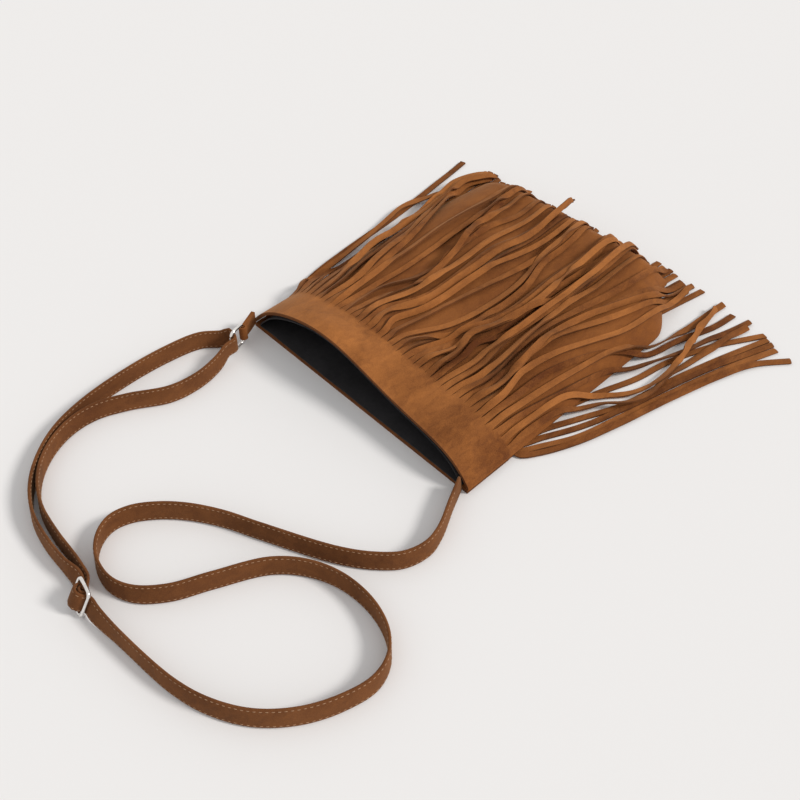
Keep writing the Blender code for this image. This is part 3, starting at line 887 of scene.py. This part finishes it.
def strip_line(number, seed, x, guides, wander, bundles):
    """Plan line of one strip: between its two nearest guides, drawn into bundles, and wandering."""
    starts, distances, lines = guides
    k = int(np.clip(np.searchsorted(starts, x) - 1, 0, len(starts) - 2))
    share = np.clip((x - starts[k]) / (starts[k + 1] - starts[k]), 0, 1)
    line = lines[k] * (1 - share) + lines[k + 1] * share
    line = line + np.array([x - line[0, 0], 0]) * (1 - smooth(distances / ROOT_FADE))[:, None]
    shift = wander * wave(number * 1.37 + seed, distances / WANDER_WAVE)
    for period, reach, turn in bundles:
        phase = 2 * math.pi * (number / period + distances / turn) + 7 * period + seed
        shift = shift + reach * np.sin(phase)
    shift = shift * smooth((distances - DRAWN_FROM) / DRAWN_OVER)
    travel = unit(np.gradient(line, axis=0))
    return line + shift[:, None] * np.stack([travel[:, 1], -travel[:, 0]], 1)


def bowed(at):
    """Height of a curled strip's section, across it from -0.5 to 0.5."""
    return 1 - 4 * at**2


def eased(values, most):
    """Values raised where they change by more than that from one to the next."""
    values = values.copy()
    for order in (range(1, len(values)), range(len(values) - 2, -1, -1)):
        for k in order:
            before = k - 1 if order.step > 0 else k + 1
            values[k] = max(values[k], values[before] - most)
    return values


def lay_strip(relief, line, width, roll, curl, loose, root_height, fall):
    """Lay a strip over what is below it: its middle line, its direction across and its curl."""
    travel = unit(np.gradient(line, axis=0))
    across = np.stack([travel[:, 1], -travel[:, 0]], 1)
    step = np.linalg.norm(line[1] - line[0])
    start = smooth(along_line(line) / LIFT_OVER)

    def under(reach, read=relief.read):
        offsets = reach[:, None] * ACROSS
        x, y = (line[:, k : k + 1] + across[:, k : k + 1] * offsets for k in (0, 1))
        return read(x, y)

    slope = under(np.full(len(line), width)) @ ACROSS / (ACROSS @ ACROSS) / width
    angle = np.clip(np.arctan(blur(slope, 2.0)), -TILT_MOST, TILT_MOST) + roll * start
    curl = curl * start
    lift = width * np.sin(angle)[:, None] * ACROSS + curl[:, None] * bowed(ACROSS)
    base = (under(width * np.cos(angle)) - lift).max(1) + GAP
    ground = under(width * np.cos(angle), relief.read_ground).max(1)
    stack = eased(np.minimum(base - ground, STACK_MOST), EASE * step)
    widest = np.maximum(ground, np.maximum(np.roll(ground, 1), np.roll(ground, -1)))
    widest[0], widest[-1] = ground[0], ground[-1]
    height = blur(widest, 2.0) + blur(stack, 3.0)
    height = blur(np.maximum(height, base - SINK), 1.0)
    tight = smooth((BOTTOM_Y - TIGHT_FROM - line[:, 1]) / TIGHT_OVER)
    height = height + loose * start * tight
    for k in range(1, len(height)):
        height[k] = max(height[k], height[k - 1] - fall * step)
    height = blur(height, 1.5) * start + root_height * (1 - start)
    centre = np.column_stack([line, height])
    cover(relief, centre, across, width, angle, curl)
    return centre, np.column_stack([across * np.cos(angle)[:, None], np.sin(angle)]), curl


def cover(relief, centre, across, width, angle, curl):
    """Add the top of a strip to the relief, as far as the strip reaches."""
    fine = np.linspace(0, len(centre) - 1, len(centre) * FINE_STEPS)
    values = np.column_stack([centre, across, angle, curl, along_line(centre)])
    found = interpolated(fine, np.arange(len(centre)), values)
    found = found[found[:, -1] < STRIP_LENGTH]
    x, y, z, ax, ay, turn, bow, _ = found.T[:, :, None]
    reach = width * np.cos(turn) * ACROSS_FINE
    top = z + SUEDE + width * np.sin(turn) * ACROSS_FINE + bow * bowed(ACROSS_FINE)
    relief.add((x + ax * reach).ravel(), (y + ay * reach).ravel(), top.ravel())


def strip_points(number, seed, centre, side, curl, width, pitch):
    """Points of one strip's cross rows, and the distance of each row from the band."""
    length = STRIP_LENGTH + TIP_UNEVEN * float(wave(3.1 * number + seed, 0.0))
    along = along_line(centre)
    at = np.linspace(0, length, STRIP_STATIONS + 1)[1:]
    middle = interpolated(at, along, centre)
    out = unit(interpolated(at, along, side))
    up = np.cross(out, unit(np.gradient(middle, axis=0)))
    lateral = np.linspace(-0.5, 0.5, STRIP_CELLS + 1)
    wide = width + (pitch - width) * (1 - smooth(at / ROOT_FLARE))
    bow = np.interp(at, along, curl)[:, None, None] * bowed(lateral)[None, :, None]
    points = middle[:, None] + out[:, None] * (lateral[None, :, None] * wide[:, None, None])
    points = points + up[:, None] * bow
    slant = TIP_SLANT * float(wave(number, 2.0)) * lateral
    points[-1] += unit(middle[-1] - middle[-2])[None] * slant[:, None]
    return points.reshape(-1, 3), at


def fringe(name, relief, guides, root_at, stride, seed, wander, bundles, roll, loose, falls):
    """A band of suede cut into strips, as one open sheet that is then thickened."""
    pitch = 2 * HALF_WIDTH / STRIP_COUNT
    per_row = STRIP_COUNT * STRIP_CELLS + 1
    per_strip_row = STRIP_CELLS + 1
    edges = np.linspace(-HALF_WIDTH, HALF_WIDTH, per_row)
    cut = BAND_Y + CUT_UNEVEN * wave(seed, edges / CUT_WAVE)
    shares = np.linspace(0, 1, BAND_ROWS + 1)
    vertices = [root_at(edges, MOUTH_Y + (cut - MOUTH_Y) * share) for share in shares]
    tones = [BAND_TONE - BAND_TONE_FALL * smooth(edges / HALF_WIDTH)] * len(vertices)
    faces = grid_faces(BAND_ROWS, per_row)
    last = BAND_ROWS * per_row
    count = len(vertices) * per_row
    guides = guide_lines(guides)
    distances = guides[1]
    for number in [(k * stride) % STRIP_COUNT for k in range(STRIP_COUNT)]:
        x = -HALF_WIDTH + pitch * (number + 0.5)
        width = pitch - STRIP_GAP - STRIP_UNEVEN * (1 + wave(seed + number, 1.0))
        line = strip_line(number, seed, x, guides, wander, bundles)
        centre, side, curl = lay_strip(
            relief, line, width,
            roll=roll * wave(seed + 2.3 * number, distances / ROLL_WAVE),
            curl=CURL_MOST * (0.3 + 0.7 * wave(seed + 4.1 * number, distances / CURL_WAVE)),
            loose=loose * (0.5 + 0.5 * wave(seed + 6.3 * number, distances / LOOSE_WAVE)),
            root_height=root_at(np.array([x]), np.array([BAND_Y]))[0, 2],
            fall=falls.get(number, FALL),
        )
        points, at = strip_points(number, seed, centre, side, curl, width, pitch)
        vertices.append(points)
        tone = float(wave(5.7 * number + seed, 1.0)) * smooth(at / TONE_FADE)
        tones.append(np.repeat(tone, per_strip_row))
        root = last + number * STRIP_CELLS
        faces += [(root + k, root + k + 1, count + k + 1, count + k) for k in range(STRIP_CELLS)]
        faces += grid_faces(STRIP_STATIONS - 1, per_strip_row, count)
        count += STRIP_STATIONS * per_strip_row
    # The strips' cut edges take the darkened edge colour, painted shade for the gaps between strips.
    looks = [SUEDE_LOOK, EDGE_SHADE_LOOK]
    made = add_mesh(name, np.vstack(vertices), faces, looks, tones=np.concatenate(tones))
    return thicken(made, SUEDE)


def band_point(x, y):
    """The band over the domed front, from the mouth edge to the cuts."""
    side = np.clip(x / HALF_WIDTH, -1, 1)
    z = FRONT_FRINGE_Z + rise_at(side, y) + wrinkle(x, y)
    return np.stack([x, pulled(side, y), z], -1)


def flat_point(x, y):
    """The band of the back fringe, flat on the floor."""
    side = np.clip(x / HALF_WIDTH, -1, 1)
    return np.stack([x, drawn(side, y), np.zeros_like(x)], -1)


def add_panel(relief):
    """Put the top of the domed front panel into the relief, as the ground that the strips lie on."""
    rows = np.linspace(BAND_Y - PANEL_MARGIN, BOTTOM_Y, PANEL_ROWS)
    side, y = np.meshgrid(np.linspace(-1, 1, PANEL_COLUMNS), rows)
    x = side * half_width_at(y, side)
    top = SEAM_Z + SUEDE + rise_at(side, y) + wrinkle(x, y)
    relief.add(x.ravel(), y.ravel(), top.ravel())
    relief.ground = relief.heights.copy()


def make_fringes():
    """The back fringe, then the front one over what is below it."""
    relief = Relief(RELIEF_LOW, RELIEF_HIGH, RELIEF_CELL)
    back = fringe(
        "back_fringe_strips", relief, BACK_GUIDES, flat_point, BACK_STRIDE, BACK_SEED,
        wander=0.0, bundles=(), roll=0.0, loose=0.0, falls={},
    )
    add_panel(relief)
    front = fringe(
        "front_fringe_strips", relief, FRONT_GUIDES, band_point, FRONT_STRIDE, FRONT_SEED,
        wander=WANDER, bundles=BUNDLES, roll=ROLL_MOST, loose=LOOSE_MOST,
        falls={STIFF_STRIP: STIFF_FALL},
    )
    for piece, node in ((back, "back_fringe"), (front, "front_fringe")):
        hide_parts(node)
        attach(piece, "bag")


def make_pouch():
    """The two suede panels and their linings."""
    sheets = (
        ("front_suede_panel", DOME_COLUMNS, 0.0, domed(SEAM_Z), "front_panel"),
        ("front_lining_cloth", DOME_COLUMNS, LINING_INSET,
         domed(LINING_FRONT_Z, LINING_INSET, LINING_DROP), "lining_front"),
        ("back_suede_panel", FLAT_COLUMNS, 0.0, flat(BACK_PANEL_Z), "back_panel"),
        ("back_lining_cloth", FLAT_COLUMNS, LINING_INSET,
         flat(SEAM_Z, LINING_INSET, LINING_RIPPLE), "lining_back"),
    )
    kinds = {
        # The panels' cut edges take the darkened edge colour, painted shade along the mouth edge.
        "suede": ([PANEL_LOOK, EDGE_SHADE_LOOK], SUEDE, "panel_suede"),
        "lining": ([LINING_LOOK, LINING_LOOK], LINING, "lining_cloth"),
    }
    for name, columns, inset, place, node in sheets:
        looks, thickness, slot_name = kinds["lining" if "lining" in node else "suede"]
        lay_sheet(name, columns, inset, place, looks, thickness, node)


# Stage


def make_stage():
    """Floor, light, world and camera."""
    nodes = Nodes("floor_paint")
    nodes.set(Base_Color=(*BACKGROUND, 1.0), Roughness=1.0, Specular_IOR_Level=0.0)
    corners = [(x * FLOOR_HALF, y * FLOOR_HALF, 0) for x, y in ((-1, -1), (1, -1), (1, 1), (-1, 1))]
    add_mesh("floor", corners, [(0, 1, 2, 3)], [nodes.material])

    key = bpy.data.lights.new("key", "SUN")
    key.energy = KEY_STRENGTH
    key.angle = KEY_SPREAD
    key.color = KEY_COLOUR
    lamp = bpy.data.objects.new("key", key)
    lamp.rotation_euler = KEY_FROM.to_track_quat("Z", "Y").to_euler()
    bpy.context.scene.collection.objects.link(lamp)

    world = bpy.data.worlds.new("studio")
    bpy.context.scene.world = world
    world.use_nodes = True
    tree = world.node_tree
    fill = tree.nodes["Background"]
    fill.inputs["Color"].default_value = (*FILL_COLOUR, 1.0)
    fill.inputs["Strength"].default_value = FILL_STRENGTH
    seen = tree.nodes.new("ShaderNodeBackground")
    seen.inputs["Color"].default_value = (*BACKGROUND, 1.0)
    path = tree.nodes.new("ShaderNodeLightPath")
    direct = path.outputs["Is Camera Ray"]
    for kind in ("Is Glossy Ray", "Is Transmission Ray"):
        either = tree.nodes.new("ShaderNodeMath")
        either.operation = "MAXIMUM"
        tree.links.new(direct, either.inputs[0])
        tree.links.new(path.outputs[kind], either.inputs[1])
        direct = either.outputs[0]
    mixed = tree.nodes.new("ShaderNodeMixShader")
    for source, socket in zip((direct, fill.outputs[0], seen.outputs[0]), mixed.inputs):
        tree.links.new(source, socket)
    tree.links.new(mixed.outputs[0], tree.nodes["World Output"].inputs["Surface"])

    camera = bpy.data.cameras.new("camera")
    camera.lens = CAMERA_LENS
    camera.sensor_width = CAMERA_SENSOR
    stand = bpy.data.objects.new("camera", camera)
    stand.location = CAMERA_PLACE
    stand.rotation_euler = (CAMERA_AIM - CAMERA_PLACE).to_track_quat("-Z", "Y").to_euler()
    bpy.context.scene.collection.objects.link(stand)
    bpy.context.scene.camera = stand
    bpy.context.scene.view_settings.view_transform = "Standard"


def dress_tab():
    """The ring's tab keeps its solid and takes the panel's suede."""
    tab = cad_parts["ring_tab"]
    tab.data.materials.clear()
    tab.data.materials.append(PANEL_LOOK)


make_stage()
make_strap()
make_ring()
make_pouch()
make_fringes()
dress_tab()
